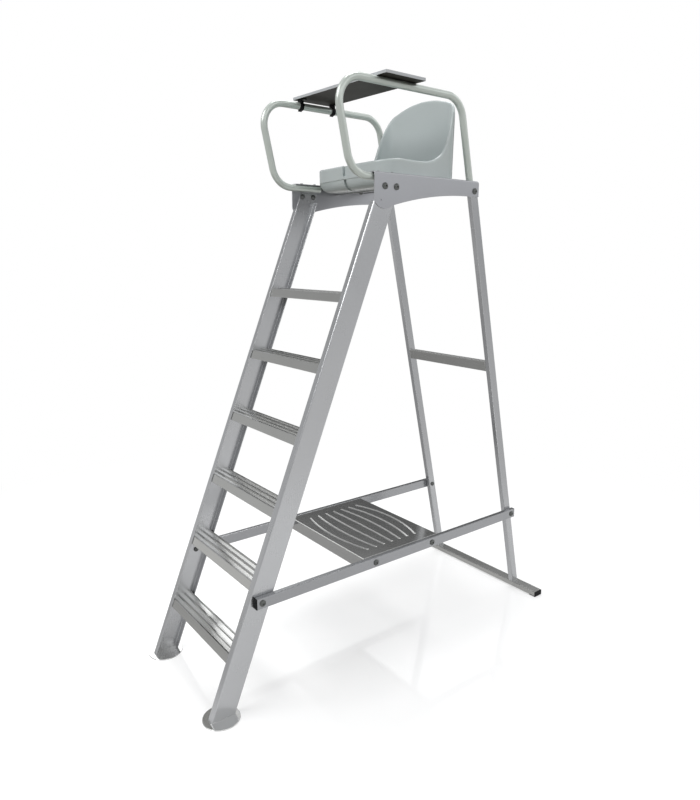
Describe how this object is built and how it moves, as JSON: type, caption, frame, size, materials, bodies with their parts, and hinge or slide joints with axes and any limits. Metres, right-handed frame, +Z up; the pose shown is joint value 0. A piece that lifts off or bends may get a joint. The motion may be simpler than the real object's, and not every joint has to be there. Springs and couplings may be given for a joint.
{
  "type": "umpire chair",
  "caption": "Tall umpire chair: leaning ladder of ribbed treads, raked rear frame on a wide foot bar, bucket seat between arm hoops, flip-over writing board, bag shelf.",
  "frame": {"origin": "middle of the bounding box, on the floor", "axes": "+Z up, -Y toward the ladder and the way the sitter faces, +X to the sitter's left"},
  "size_m": [0.808, 1.6894, 2.2263],
  "materials": {
    "anodised_aluminium": "satin anodised",
    "polished_disc": "polished",
    "shelf_sheet": "dark glossy",
    "painted_tube": "semi-gloss paint",
    "seat_plastic": "semi-gloss moulding",
    "board_laminate": "smooth laminate",
    "black_plastic": "fine texture",
    "insert_steel": "turned",
    "dark_fasteners": "dark coated steel"
  },
  "bodies": {
    "frame": {"stile_left": "anodised_aluminium", "stile_right": "anodised_aluminium", "tread_1": "anodised_aluminium", "tread_2": "anodised_aluminium", "tread_3": "anodised_aluminium", "tread_4": "anodised_aluminium", "tread_5": "anodised_aluminium", "tread_6": "anodised_aluminium", "foot_disc_left": "polished_disc", "foot_disc_right": "polished_disc", "rear_leg_left": "anodised_aluminium", "rear_leg_right": "anodised_aluminium", "rear_foot_bar": "anodised_aluminium", "foot_bar_caps": "black_plastic", "rear_crossbar": "anodised_aluminium", "side_rail_left": "anodised_aluminium", "side_rail_right": "anodised_aluminium", "rail_caps": "black_plastic", "bag_shelf": "shelf_sheet", "side_plate_left": "anodised_aluminium", "side_plate_right": "anodised_aluminium", "arm_hoop_left": "painted_tube", "arm_hoop_right": "painted_tube", "hoop_plugs": "black_plastic", "hoop_inserts": "insert_steel", "seat_shell": "seat_plastic", "seat_strap_front": "anodised_aluminium", "seat_strap_rear": "anodised_aluminium", "plate_stile_bolts": "dark_fasteners", "plate_stile_nuts": "dark_fasteners", "plate_leg_bolts": "dark_fasteners", "plate_leg_nuts": "dark_fasteners", "rail_stile_bolts": "dark_fasteners", "rail_stile_nuts": "dark_fasteners", "rail_leg_bolts": "dark_fasteners", "rail_leg_nuts": "dark_fasteners", "rail_shelf_bolts": "dark_fasteners", "rail_shelf_nuts": "dark_fasteners", "hoop_bolts": "dark_fasteners", "hoop_rear_screws": "dark_fasteners", "seat_bolts": "dark_fasteners", "seat_nuts": "dark_fasteners"},
    "board": {"writing_board": "board_laminate", "board_clip_front": "black_plastic", "board_clip_rear": "black_plastic", "clip_screws": "dark_fasteners"}
  },
  "joints": [
    {"name": "board_lift", "type": "hinge", "parent": "frame", "child": "board", "pos_m": [-0.248, 0.00475, 2.19], "axis": [0, -1, 0], "range_deg": [0, 260]}
  ]
}
